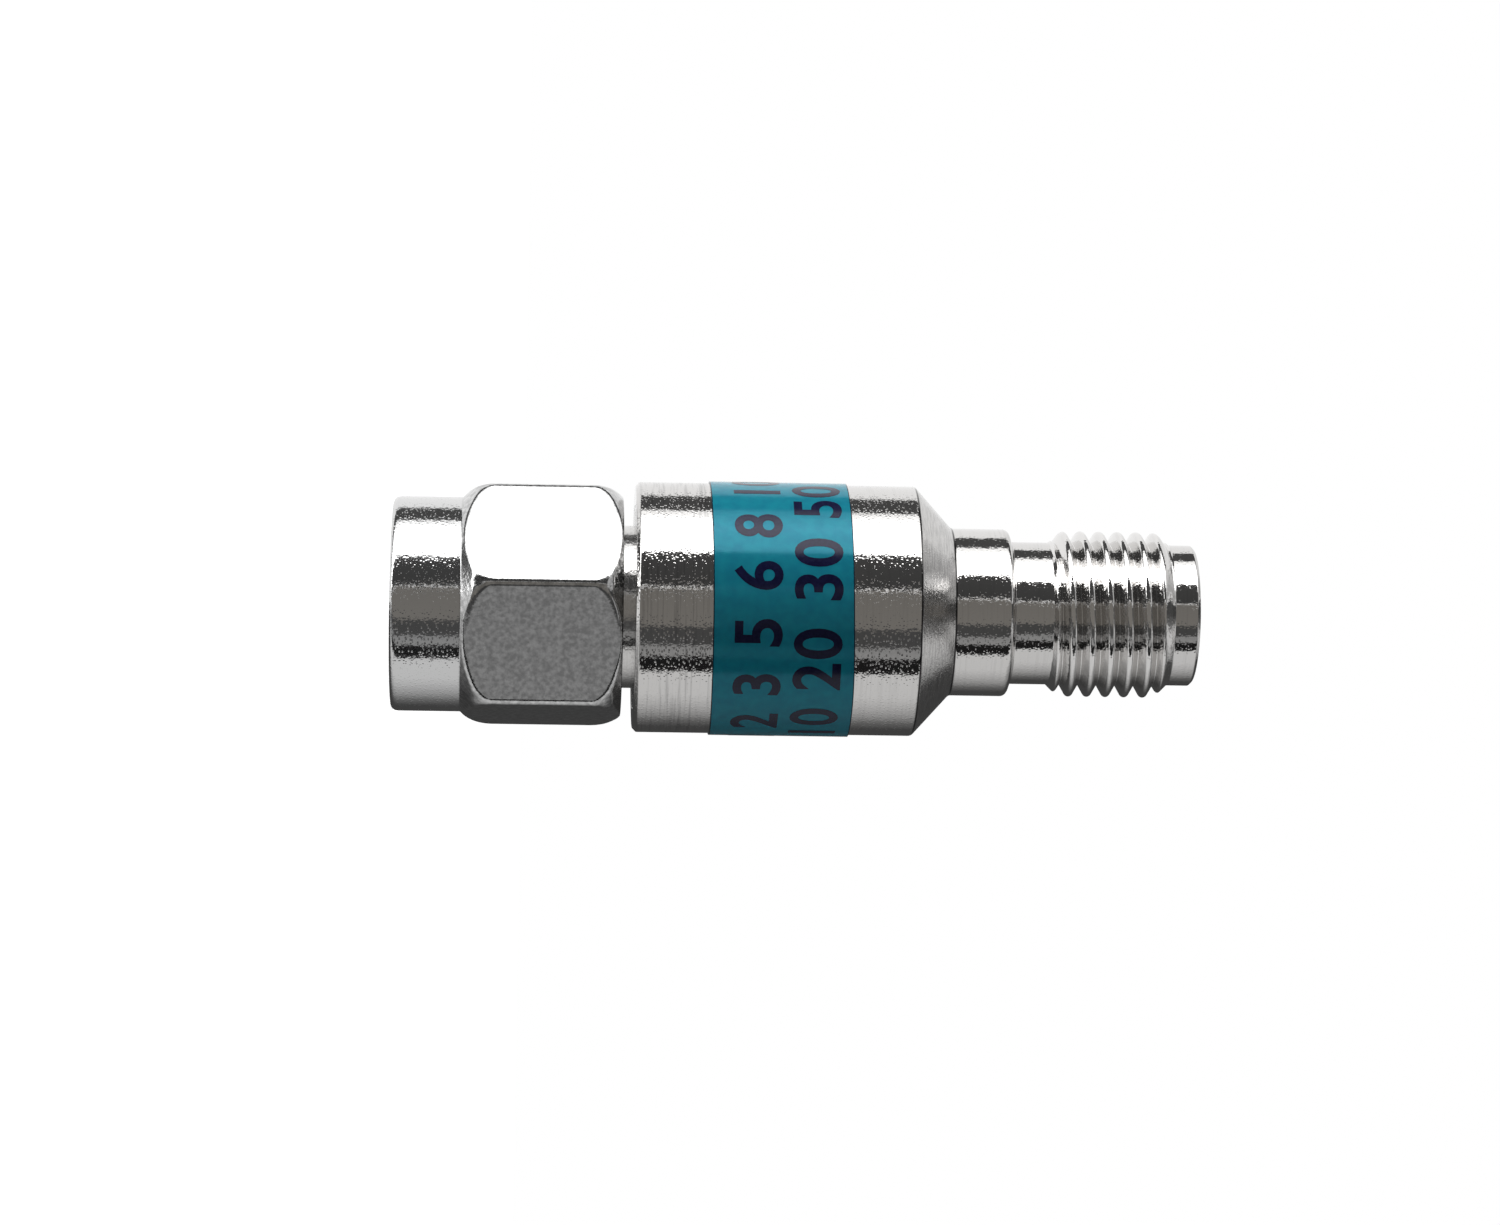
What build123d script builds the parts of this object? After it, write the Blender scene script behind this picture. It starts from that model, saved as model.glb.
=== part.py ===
from build123d import *
import os
from math import cos, radians, tan

# A fixed coaxial attenuator with a plug at one end and a jack at the other.
# It stands on the front ring of its coupling nut, with +Z along the axis towards the jack.
# All sizes are in millimetres.

# Fits
seat_gap = 0.01  # pieces pressed or clamped together
running_gap = 0.03  # faces that turn or slide on each other

# Coupling nut
nut_length = 8.6
nut_flats = 8.35  # across the wrench flats
nut_edge_round = 0.25
nut_turn = 19.5  # degrees from +X to the first corner
sleeve_diameter = 8.05  # turned sleeve in front of the hexagon
sleeve_length = 2.6
sleeve_chamfer = 0.35
hexagon_chamfer = 45  # degrees from the axis, at both ends of the hexagon
nut_rear_diameter = 8.2  # flat ring left on the rear face
mouth_diameter = 6.8  # where the lead-in to the thread starts
nut_thread_end = 4.4  # from the front of the nut
rear_lip_length = 1.25  # wall behind the groove of the retaining ring

# Screw threads of jack and nut, both left plain at their crests
jack_thread_diameter = 6.25
thread_depth = 0.425
crest_clearance = 0.15  # radial, from the nut's crests to the roots of a jack's thread

# Retaining ring
ring_width = 0.6  # radial
ring_thickness = 0.5
ring_bite = 0.25  # how far it stands into the wall of the nut
ring_opening = 0.8
nut_float = 0.3  # how far the nut slides forward on the plug

# Plug
nut_reach = 2.9  # nut in front of the reference plane
ferrule_diameter = 4.55
plug_neck_diameter = 6.1
nut_play = 0.2  # radial, between the neck and the rear bore of the nut
ring_groove_depth = 0.6
flange_diameter = 7.6
flange_length = 2.15
gasket_setback = 1.85  # behind the reference plane
gasket_thickness = 0.75
gasket_diameter = 5.8

# Insulators and centre contacts
insulator_diameter = 4.1
insulator_flange_diameter = 5.2
insulator_flange_length = 1.0
contact_diameter = 1.27
collar_diameter = 1.7
collar_length = 1.2
pin_diameter = 0.92
pin_reach = 1.9  # in front of the reference plane
pin_taper_length = 0.35
pin_tip_diameter = 0.5
socket_bore_diameter = 0.94
socket_depth = 2.9
socket_recess = 0.1  # behind the reference plane
socket_chamfer = 0.08
finger_slot_width = 0.16
finger_slot_length = 2.4
finger_room = 0.12  # radial, round the sprung fingers

# Housing
body_gap = 0.45  # open gap between nut and housing
body_diameter = 9.4
body_length = 10.5
body_front_chamfer = 0.15
shoulder_chamfer = 0.15
cone_length = 1.4
step_diameter = 6.3
step_length = 2.25
step_chamfer = 0.37
jack_neck_diameter = 5.36
jack_neck_length = 1.45
jack_thread_length = 4.55
lip_length = 0.95
lip_diameter = 5.3
lip_chamfer = 0.15
jack_mouth_diameter = 4.65
jack_mouth_depth = 1.93
jack_mouth_chamfer = 0.1

# Attenuator card and the two clamps that ground its edges
card_length = 7.4
card_width = 6.2
card_thickness = 0.5
film_thickness = 0.05
fork_grip = 1.1  # overlap of each contact's fork with the card
fork_clearance = 0.05
cavity_diameter = 6.9
cavity_length = 8.0
clamp_slack = 0.05  # axial
channel_width = 3.0
channel_depth = 1.5
end_pad_width = 1.8
end_pad_length = 1.4
centre_pad_width = 1.0
centre_pad_length = 0.6
ground_strip_width = 0.8
ground_strip_length = 4.0
series_resistor_width = 0.9
shunt_resistor_width = 0.5

# Label
label_setback = 2.9  # behind the front of the housing
label_length = 5.2
label_thickness = 0.06
label_butt_gap = 0.4

# Stations along the axis, from the front of the nut
plug_reference = nut_reach
gasket_front = plug_reference + gasket_setback
plug_shoulder = gasket_front + gasket_thickness
ring_rear = nut_length - rear_lip_length - running_gap
ring_front = ring_rear - ring_thickness
body_front = nut_length + body_gap
body_rear = body_front + body_length
step_front = body_rear + cone_length
step_rear = step_front + step_length
thread_start = step_rear + jack_neck_length
thread_stop = thread_start + jack_thread_length
jack_end = thread_stop + lip_length
jack_reference = jack_end - jack_mouth_depth
cavity_front = body_front + flange_length
cavity_rear = cavity_front + cavity_length
card_front = cavity_front + (cavity_length - card_length) / 2
card_rear = card_front + card_length
card_middle = (card_front + card_rear) / 2

# Radii shared by pieces that meet
thread_radius = jack_thread_diameter / 2
thread_root_radius = thread_radius - thread_depth
nut_crest_radius = thread_root_radius + crest_clearance
ferrule_radius = ferrule_diameter / 2
neck_radius = plug_neck_diameter / 2
nut_bore_radius = neck_radius + nut_play
ring_radius = nut_bore_radius + ring_bite
flange_radius = flange_diameter / 2
body_radius = body_diameter / 2
cavity_radius = cavity_diameter / 2
insulator_radius = insulator_diameter / 2
insulator_flange_radius = insulator_flange_diameter / 2
contact_radius = contact_diameter / 2
collar_radius = collar_diameter / 2
fork_slot = card_thickness + 2 * (film_thickness + seat_gap)

os.makedirs("parts", exist_ok=True)


def turn(*outline, mode=Mode.ADD):
    """Turn a closed outline of (radius, height) points about the axis."""
    with BuildSketch(Plane.XZ) as section:
        with BuildLine():
            Polyline(*outline, close=True)
        make_face()
    revolve(section.sketch, axis=Axis.Z, mode=mode)


def cut_fork(mouth, back):
    """Saw the slot with which a centre contact straddles the end of the card."""
    with BuildSketch(Plane.XY.offset(min(mouth, back))) as slot:
        Rectangle(2 * collar_radius, fork_slot)
    extrude(slot.sketch, amount=abs(back - mouth), mode=Mode.SUBTRACT)


# Coupling nut: a hexagon trimmed by the turned sleeve and two chamfer cones
nut_corner_radius = nut_flats / 2 / cos(radians(30))
front_cone_run = (nut_corner_radius - sleeve_diameter / 2) / tan(radians(hexagon_chamfer))
rear_cone_run = (nut_corner_radius - nut_rear_diameter / 2) / tan(radians(hexagon_chamfer))
mouth_radius = mouth_diameter / 2
ring_seat_radius = ring_radius + running_gap
lead_in = mouth_radius - nut_crest_radius
lead_out = nut_bore_radius - nut_crest_radius

with BuildPart() as coupling_nut:
    turn(
        (0, 0),
        (sleeve_diameter / 2 - sleeve_chamfer, 0),
        (sleeve_diameter / 2, sleeve_chamfer),
        (sleeve_diameter / 2, sleeve_length),
        (nut_corner_radius, sleeve_length + front_cone_run),
        (nut_corner_radius, nut_length - rear_cone_run),
        (nut_rear_diameter / 2, nut_length),
        (0, nut_length),
    )
    with BuildSketch() as hexagon:
        RegularPolygon(nut_flats / 2, 6, major_radius=False, rotation=nut_turn)
        fillet(hexagon.vertices(), nut_edge_round)
    extrude(amount=nut_length, mode=Mode.INTERSECT)
    turn(
        (0, 0),
        (mouth_radius, 0),
        (nut_crest_radius, lead_in),
        (nut_crest_radius, nut_thread_end - lead_out),
        (nut_bore_radius, nut_thread_end),
        (nut_bore_radius, ring_front - running_gap),
        (ring_seat_radius, ring_front - running_gap),
        (ring_seat_radius, ring_rear + running_gap),
        (nut_bore_radius, ring_rear + running_gap),
        (nut_bore_radius, nut_length),
        (0, nut_length),
        mode=Mode.SUBTRACT,
    )
coupling_nut.part.label = "coupling_nut"
export_step(coupling_nut.part, "parts/coupling_nut.step")

# Retaining ring: an open ring, half in the plug's groove and half in the nut's
with BuildPart() as retaining_ring:
    with BuildSketch(Plane.XY.offset(ring_front)):
        Circle(ring_radius)
        Circle(ring_radius - ring_width, mode=Mode.SUBTRACT)
        with Locations((0, ring_radius)):
            Rectangle(ring_opening, 2 * ring_radius, mode=Mode.SUBTRACT)
    extrude(amount=ring_thickness)
retaining_ring.part.label = "retaining_ring"
export_step(retaining_ring.part, "parts/retaining_ring.step")

# Plug shell: ferrule, shoulder, grooved neck and the flange pressed into the housing
insulator_bore = insulator_radius + seat_gap
insulator_seat = insulator_flange_radius + seat_gap
insulator_step = cavity_front - insulator_flange_length
groove_radius = neck_radius - ring_groove_depth
groove_front = ring_front - nut_float - running_gap

with BuildPart() as plug_shell:
    turn(
        (insulator_bore, plug_reference),
        (ferrule_radius, plug_reference),
        (ferrule_radius, plug_shoulder),
        (neck_radius, plug_shoulder),
        (neck_radius, groove_front),
        (groove_radius, groove_front),
        (groove_radius, ring_rear + running_gap),
        (neck_radius, ring_rear + running_gap),
        (neck_radius, body_front),
        (flange_radius, body_front),
        (flange_radius, cavity_front),
        (insulator_seat, cavity_front),
        (insulator_seat, insulator_step),
        (insulator_bore, insulator_step),
    )
plug_shell.part.label = "plug_shell"
export_step(plug_shell.part, "parts/plug_shell.step")

# Sealing gasket: a rubber ring round the ferrule, against the shoulder
with BuildPart() as sealing_gasket:
    with BuildSketch(Plane.XY.offset(gasket_front)):
        Circle(gasket_diameter / 2)
        Circle(ferrule_radius + seat_gap, mode=Mode.SUBTRACT)
    extrude(amount=gasket_thickness)
sealing_gasket.part.label = "sealing_gasket"
export_step(sealing_gasket.part, "parts/sealing_gasket.step")

# Plug insulator, with a seat at the back for the collar of the pin
contact_hole = contact_radius + seat_gap
collar_seat = collar_radius + seat_gap

with BuildPart() as plug_insulator:
    turn(
        (contact_hole, plug_reference),
        (insulator_radius, plug_reference),
        (insulator_radius, insulator_step + seat_gap),
        (insulator_flange_radius, insulator_step + seat_gap),
        (insulator_flange_radius, cavity_front),
        (collar_seat, cavity_front),
        (collar_seat, cavity_front - collar_length - seat_gap),
        (contact_hole, cavity_front - collar_length - seat_gap),
    )
plug_insulator.part.label = "plug_insulator"
export_step(plug_insulator.part, "parts/plug_insulator.step")

# Plug pin: tapered tip, shank and a collar that ends in the fork gripping the card
pin_tip = plug_reference - pin_reach
pin_rear = card_front + fork_grip

with BuildPart() as plug_pin:
    turn(
        (0, pin_tip),
        (pin_tip_diameter / 2, pin_tip),
        (pin_diameter / 2, pin_tip + pin_taper_length),
        (pin_diameter / 2, plug_reference),
        (contact_radius, plug_reference),
        (contact_radius, cavity_front - collar_length),
        (collar_radius, cavity_front - collar_length),
        (collar_radius, pin_rear),
        (0, pin_rear),
    )
    cut_fork(pin_rear, card_front - fork_clearance)
plug_pin.part.label = "plug_pin"
export_step(plug_pin.part, "parts/plug_pin.step")

# Main housing: barrel, cone, step, neck, threaded jack and plain lip, turned in one piece
jack_insulator_step = cavity_rear + insulator_flange_length
jack_mouth_radius = jack_mouth_diameter / 2
jack_neck_radius = jack_neck_diameter / 2
lip_radius = lip_diameter / 2
thread_lead = thread_radius - jack_neck_radius
lip_lead = thread_radius - lip_radius

with BuildPart() as main_housing:
    turn(
        (flange_radius + seat_gap, body_front),
        (body_radius - body_front_chamfer, body_front),
        (body_radius, body_front + body_front_chamfer),
        (body_radius, body_rear),
        (step_diameter / 2, step_front),
        (step_diameter / 2, step_rear - step_chamfer),
        (step_diameter / 2 - step_chamfer, step_rear),
        (jack_neck_radius, step_rear),
        (jack_neck_radius, thread_start),
        (thread_radius, thread_start + thread_lead),
        (thread_radius, thread_stop - lip_lead),
        (lip_radius, thread_stop),
        (lip_radius, jack_end - lip_chamfer),
        (lip_radius - lip_chamfer, jack_end),
        (jack_mouth_radius + jack_mouth_chamfer, jack_end),
        (jack_mouth_radius, jack_end - jack_mouth_chamfer),
        (jack_mouth_radius, jack_reference),
        (insulator_bore, jack_reference),
        (insulator_bore, jack_insulator_step),
        (insulator_seat, jack_insulator_step),
        (insulator_seat, cavity_rear),
        (cavity_radius, cavity_rear),
        (cavity_radius, cavity_front),
        (flange_radius + seat_gap, cavity_front),
    )
    shoulder = main_housing.edges().filter_by_position(Axis.Z, body_rear, body_rear)
    chamfer(shoulder, shoulder_chamfer)
main_housing.part.label = "main_housing"
export_step(main_housing.part, "parts/main_housing.step")

# Jack insulator, with room at the front for the socket's fingers to spring
finger_room_start = jack_reference - finger_slot_length

with BuildPart() as jack_insulator:
    turn(
        (collar_seat, cavity_rear),
        (insulator_flange_radius, cavity_rear),
        (insulator_flange_radius, jack_insulator_step - seat_gap),
        (insulator_radius, jack_insulator_step - seat_gap),
        (insulator_radius, jack_reference),
        (contact_radius + finger_room, jack_reference),
        (contact_radius + finger_room, finger_room_start),
        (contact_hole, finger_room_start),
        (contact_hole, cavity_rear + collar_length + seat_gap),
        (collar_seat, cavity_rear + collar_length + seat_gap),
    )
jack_insulator.part.label = "jack_insulator"
export_step(jack_insulator.part, "parts/jack_insulator.step")

# Jack socket: four sprung fingers in front, a collar that ends in a fork behind
socket_tip = jack_reference - socket_recess
socket_rear = card_rear - fork_grip
socket_bore_radius = socket_bore_diameter / 2

with BuildPart() as jack_socket:
    turn(
        (0, socket_rear),
        (collar_radius, socket_rear),
        (collar_radius, cavity_rear + collar_length),
        (contact_radius, cavity_rear + collar_length),
        (contact_radius, socket_tip),
        (socket_bore_radius + socket_chamfer, socket_tip),
        (socket_bore_radius, socket_tip - socket_chamfer),
        (socket_bore_radius, socket_tip - socket_depth),
        (0, socket_tip - socket_depth),
    )
    cut_fork(socket_rear, card_rear + fork_clearance)
    with BuildSketch(Plane.XY.offset(socket_tip - finger_slot_length)):
        Rectangle(contact_diameter, finger_slot_width)
        Rectangle(finger_slot_width, contact_diameter)
    extrude(amount=finger_slot_length, mode=Mode.SUBTRACT)
jack_socket.part.label = "jack_socket"
export_step(jack_socket.part, "parts/jack_socket.step")

# Attenuator card: an alumina plate on the axis, its film side towards +Y
film_base = card_thickness / 2
card_face = Plane(origin=(0, film_base, 0), x_dir=(1, 0, 0), z_dir=(0, 1, 0))

with BuildPart() as card:
    with BuildSketch(Plane.XY.offset(card_front)):
        Rectangle(card_width, card_thickness)
    extrude(amount=card_length)
card.part.label = "attenuator_card"
export_step(card.part, "parts/attenuator_card.step")


def print_on_card(*patches):
    """Lay film on the card in rectangles given as (across, along, width, length)."""
    with BuildSketch(card_face) as film:
        for across, along, width, length in patches:
            with Locations((across, -along)):
                Rectangle(width, length)
    extrude(film.sketch, amount=film_thickness)


# Conductor film: a pad at each end, one in the middle and a ground strip on each side
pad_offset = (card_length - end_pad_length) / 2
strip_offset = (card_width - ground_strip_width) / 2

with BuildPart() as conductor_film:
    print_on_card(
        (0, card_middle - pad_offset, end_pad_width, end_pad_length),
        (0, card_middle, centre_pad_width, centre_pad_length),
        (0, card_middle + pad_offset, end_pad_width, end_pad_length),
        (-strip_offset, card_middle, ground_strip_width, ground_strip_length),
        (strip_offset, card_middle, ground_strip_width, ground_strip_length),
    )
conductor_film.part.label = "conductor_film"
export_step(conductor_film.part, "parts/conductor_film.step")

# Resistor film: two resistors in line and two from the middle to ground, face to face with the pads
series_length = pad_offset - (end_pad_length + centre_pad_length) / 2
series_offset = (centre_pad_length + series_length) / 2
shunt_length = strip_offset - (ground_strip_width + centre_pad_width) / 2
shunt_offset = (centre_pad_width + shunt_length) / 2

with BuildPart() as resistor_film:
    print_on_card(
        (0, card_middle - series_offset, series_resistor_width, series_length),
        (0, card_middle + series_offset, series_resistor_width, series_length),
        (-shunt_offset, card_middle, shunt_length, shunt_resistor_width),
        (shunt_offset, card_middle, shunt_length, shunt_resistor_width),
    )
resistor_film.part.label = "resistor_film"
export_step(resistor_film.part, "parts/resistor_film.step")


def ground_clamp(flat, side):
    """A half-round clamp whose flat lies this far from the axis, with the channel round the card's middle."""
    with BuildSketch(Plane.XY.offset(cavity_rear - cavity_length + clamp_slack)) as section:
        Circle(cavity_radius - seat_gap)
        with Locations((0, side * (flat - cavity_radius))):
            Rectangle(2 * cavity_radius, 2 * cavity_radius, mode=Mode.SUBTRACT)
        Rectangle(channel_width, 2 * (flat + channel_depth), mode=Mode.SUBTRACT)
    extrude(section.sketch, amount=cavity_length - clamp_slack)


# Ground clamps: one on the film side of the card and one on its bare side
with BuildPart() as film_side_clamp:
    ground_clamp(film_base + film_thickness + seat_gap, 1)
film_side_clamp.part.label = "film_side_clamp"
export_step(film_side_clamp.part, "parts/film_side_clamp.step")

with BuildPart() as bare_side_clamp:
    ground_clamp(film_base + seat_gap, -1)
bare_side_clamp.part.label = "bare_side_clamp"
export_step(bare_side_clamp.part, "parts/bare_side_clamp.step")

# Label: a printed film wrapped round the barrel, its ends butted at the back
with BuildPart() as label_band:
    with BuildSketch(Plane.XY.offset(body_front + label_setback)):
        Circle(body_radius + seat_gap + label_thickness)
        Circle(body_radius + seat_gap, mode=Mode.SUBTRACT)
        with Locations((0, body_radius)):
            Rectangle(label_butt_gap, body_radius, mode=Mode.SUBTRACT)
    extrude(amount=label_length)
label_band.part.label = "label_band"
export_step(label_band.part, "parts/label_band.step")
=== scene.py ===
from math import asin, atan, cos, pi, radians, sin, sqrt, tan

import bmesh
import bpy
from mathutils import Matrix, Vector


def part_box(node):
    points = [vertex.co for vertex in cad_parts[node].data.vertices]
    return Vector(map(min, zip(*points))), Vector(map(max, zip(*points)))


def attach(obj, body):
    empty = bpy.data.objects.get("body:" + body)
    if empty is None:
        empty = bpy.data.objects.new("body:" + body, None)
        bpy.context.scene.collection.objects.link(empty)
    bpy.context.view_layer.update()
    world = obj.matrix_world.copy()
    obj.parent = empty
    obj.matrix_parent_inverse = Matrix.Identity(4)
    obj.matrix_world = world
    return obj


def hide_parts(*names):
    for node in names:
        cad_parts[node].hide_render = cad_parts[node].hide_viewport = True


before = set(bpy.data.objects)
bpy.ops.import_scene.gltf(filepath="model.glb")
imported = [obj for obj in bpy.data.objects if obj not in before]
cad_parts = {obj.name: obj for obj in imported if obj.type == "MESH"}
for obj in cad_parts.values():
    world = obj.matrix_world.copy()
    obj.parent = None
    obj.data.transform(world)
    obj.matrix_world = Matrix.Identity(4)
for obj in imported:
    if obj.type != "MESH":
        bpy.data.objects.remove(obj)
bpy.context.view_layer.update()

# Looks of a small coaxial attenuator that stands on its coupling nut, +Z towards the jack.
# Lengths are in metres, written as millimetres times MM.
MM = 0.001
SEGMENTS = 240
SHARP_FOLD = radians(50)
MERGE_DISTANCE = 1e-8  # points closer than this become one
TINY = 1e-9  # keeps a divisor away from zero
BEYOND = 1 * MM  # how far a cut or a zone reaches past the piece

# Rounded corners of outlines
CORNER_STEPS = 6
CORNER_LIMIT = 2.1  # a rounding takes at most one part in so many of the stretch beside it
GUARD_REACH = 1.04  # of the rounding: points this far from a corner keep the shading flat beyond it
FINE_EDGE = 0.03 * MM
SOFT_EDGE = 0.1 * MM

# Screw threads, right hand
PITCH = 25.4 / 36 * MM
THREAD_HALF_ANGLE = radians(30)
THREAD_DEPTH = 0.44 * MM
CREST_ROUND = 0.15 * MM
CREST_STEPS = 6
FLANK_STEPS = 4
BEVEL_BLEND = 0.22 * MM
THREAD_PHASE = 0.21  # of a pitch, from the start of a thread to its first crest at +X
SPARE_TURNS = 2  # before the start and after the end, where the bevels cut them off

# Stations along the axis and radii read from the solids
NUT_LOW, NUT_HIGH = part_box("coupling_nut")
HOUSING_LOW, HOUSING_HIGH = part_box("main_housing")
SHELL_LOW, SHELL_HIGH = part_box("plug_shell")
RING_LOW, RING_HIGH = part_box("retaining_ring")
LABEL_LOW, LABEL_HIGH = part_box("label_band")
PLUG_INSULATOR_LOW, PLUG_INSULATOR_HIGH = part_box("plug_insulator")
JACK_INSULATOR_LOW, JACK_INSULATOR_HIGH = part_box("jack_insulator")


def round_corners(outline):
    """Points of an outline of (radius, height, rounding), with a short curve at each rounded corner."""
    points = []
    last = len(outline) - 1
    for i, (radius, height, rounding) in enumerate(outline):
        corner = Vector((radius, height))
        if rounding == 0 or i in (0, last):
            points.append(corner)
            continue
        before = Vector(outline[i - 1][:2]) - corner
        after = Vector(outline[i + 1][:2]) - corner
        reach = min(rounding, before.length / CORNER_LIMIT, after.length / CORNER_LIMIT)
        inward = before.normalized() * reach
        onward = after.normalized() * reach
        start, end = corner + inward, corner + onward
        points.append(corner + inward * GUARD_REACH)
        for step in range(CORNER_STEPS + 1):
            t = step / CORNER_STEPS
            points.append(start * (1 - t) ** 2 + corner * 2 * t * (1 - t) + end * t * t)
        points.append(corner + onward * GUARD_REACH)
    return points


def skin(bm, angles, column, lag=0, closed=True):
    """Join columns of (radius, height) points round the axis; a helix lags by some rows at each turn."""
    grid = []
    for angle in angles:
        spots = column(angle)
        grid.append([bm.verts.new((r * cos(angle), r * sin(angle), z)) for r, z in spots])
    if not closed:
        bm.faces.new(grid[0][:-1])
        bm.faces.new(grid[-1][:-1])
    top = len(grid[0]) - 1
    for i, here in enumerate(grid):
        closing = i + 1 == len(grid)
        if closing and not closed:
            break
        there = grid[0] if closing else grid[i + 1]
        step = lag if closing else 0
        for j in range(top):
            low, high = min(j + step, top), min(j + 1 + step, top)
            if low < high:
                bm.faces.new((here[j], there[low], there[high], here[j + 1]))


def even_angles(count):
    """Angles all round the axis, the same step apart."""
    return [2 * pi * i / count for i in range(count)]


def tooth(crest, root):
    """One pitch of a thread as points (radius, height): root, flank, round crest and flank."""
    side = 1 if crest > root else -1
    half_flanks = (abs(crest - root) + CREST_ROUND) * tan(THREAD_HALF_ANGLE)
    centre = crest - side * CREST_ROUND
    half_arc = radians(90) - THREAD_HALF_ANGLE
    round_crest = []
    for step in range(-CREST_STEPS, CREST_STEPS + 1):
        angle = half_arc * step / CREST_STEPS
        round_crest.append((centre + side * CREST_ROUND * cos(angle), CREST_ROUND * sin(angle)))
    edge_radius, edge_height = round_crest[-1]
    flank = []
    for step in range(FLANK_STEPS):
        share = step / FLANK_STEPS
        radius = root + (edge_radius - root) * share
        flank.append((radius, half_flanks + (edge_height - half_flanks) * share))
    rising = [(radius, -height) for radius, height in flank]
    return [(root, -PITCH / 2), *rising, *round_crest, *reversed(flank)]


def soft_min(a, b, blend):
    """The smaller of two lengths, with a rounded change from one to the other."""
    overlap = max(blend - abs(a - b), 0)
    return min(a, b) - overlap**2 / (4 * max(blend, TINY))


def thread_column(angle, start, stop, start_radius, stop_radius, crest, root):
    """Points of a thread along one line, cut off by soft 45 degree bevels that end in the given radii."""
    side = 1 if crest > root else -1
    shape = tooth(crest, root)
    points = []
    for turn in range(-SPARE_TURNS, int((stop - start) / PITCH) + SPARE_TURNS):
        for radius, height in shape:
            z = start + (turn + THREAD_PHASE + angle / (2 * pi)) * PITCH + height
            z = min(max(z, start), stop)
            bevel = min(side * start_radius + z - start, side * stop_radius + stop - z)
            blend = min(BEVEL_BLEND, z - start, stop - z)
            points.append((side * soft_min(side * radius, bevel, blend), z))
    return points


def finish_mesh(name, bm):
    """Turn the joined columns into an object with smooth faces and sharp folds."""
    bmesh.ops.remove_doubles(bm, verts=bm.verts, dist=MERGE_DISTANCE)
    bmesh.ops.dissolve_degenerate(bm, edges=bm.edges, dist=MERGE_DISTANCE)
    bmesh.ops.recalc_face_normals(bm, faces=bm.faces)
    mesh = bpy.data.meshes.new(name)
    bm.to_mesh(mesh)
    bm.free()
    mesh.shade_smooth()
    mesh.set_sharp_from_angle(angle=SHARP_FOLD)
    obj = bpy.data.objects.new(name, mesh)
    bpy.context.scene.collection.objects.link(obj)
    return obj


def lathe(name, outline, count=SEGMENTS):
    """A closed outline of (radius, height, rounding) turned about the axis."""
    points = round_corners(outline + outline[:1])
    bm = bmesh.new()
    skin(bm, even_angles(count), lambda angle: points)
    return finish_mesh(name, bm)


def dress(obj, material, slot, body, *nodes):
    """Give a piece its material and body, and let it stand for its CAD nodes; the slot argument is not
    used.
    """
    obj.data.materials.clear()
    obj.data.materials.append(material)
    if nodes:
        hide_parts(*nodes)
    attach(obj, body)
    return obj


def saw(obj, *boxes):
    """Cut slots into a piece; each box is its lowest and highest corner."""
    for low, high in boxes:
        bm = bmesh.new()
        bmesh.ops.create_cube(bm, size=1)
        for vertex in bm.verts:
            vertex.co = [high[i] if vertex.co[i] > 0 else low[i] for i in range(3)]
        blade = finish_mesh("blade", bm)
        modifier = obj.modifiers.new("slot", "BOOLEAN")
        modifier.operation = "DIFFERENCE"
        modifier.solver = "EXACT"
        modifier.object = blade
        result = obj.evaluated_get(bpy.context.evaluated_depsgraph_get())
        obj.data = bpy.data.meshes.new_from_object(result)
        obj.modifiers.clear()
        bpy.data.objects.remove(blade)
    obj.data.set_sharp_from_angle(angle=SHARP_FOLD)
    return obj


# Housing

BODY_FRONT = HOUSING_LOW.z
BODY_RADIUS = HOUSING_HIGH.x
BODY_LENGTH = 10.5 * MM
BODY_REAR = BODY_FRONT + BODY_LENGTH
BODY_CHAMFER = 0.15 * MM
CONE_LENGTH = 1.4 * MM
STEP_FRONT = BODY_REAR + CONE_LENGTH
STEP_LENGTH = 2.25 * MM
STEP_REAR = STEP_FRONT + STEP_LENGTH
STEP_RADIUS = 3.15 * MM
STEP_BEVEL = 0.37 * MM
STEP_BEVEL_DEPTH = STEP_BEVEL / 3
STEP_BEVEL_ROUND = STEP_BEVEL / 1.5
JACK_NECK_RADIUS = 2.68 * MM
JACK_NECK_LENGTH = 1.45 * MM
JACK_END = HOUSING_HIGH.z
LIP_RADIUS = 2.65 * MM
LIP_LENGTH = 0.95 * MM
LIP_CHAMFER = 0.12 * MM
JACK_CREST = 3.125 * MM
JACK_ROOT = JACK_CREST - THREAD_DEPTH
THREAD_START = STEP_REAR + JACK_NECK_LENGTH
THREAD_STOP = JACK_END - LIP_LENGTH
MOUTH_RADIUS = 2.325 * MM
MOUTH_CHAMFER = 0.1 * MM
JACK_REFERENCE = JACK_INSULATOR_HIGH.z
SEAT_GAP = 0.01 * MM
SEAT_LENGTH = 1.0 * MM
FLANGE_SEAT_RADIUS = SHELL_HIGH.x + SEAT_GAP
CAVITY_FRONT = SHELL_HIGH.z
CAVITY_REAR = JACK_INSULATOR_LOW.z
CAVITY_RADIUS = 3.45 * MM
INSULATOR_SEAT_RADIUS = JACK_INSULATOR_HIGH.x + SEAT_GAP
INSULATOR_SEAT_END = CAVITY_REAR + SEAT_LENGTH
INSULATOR_BORE_RADIUS = 2.06 * MM


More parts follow.
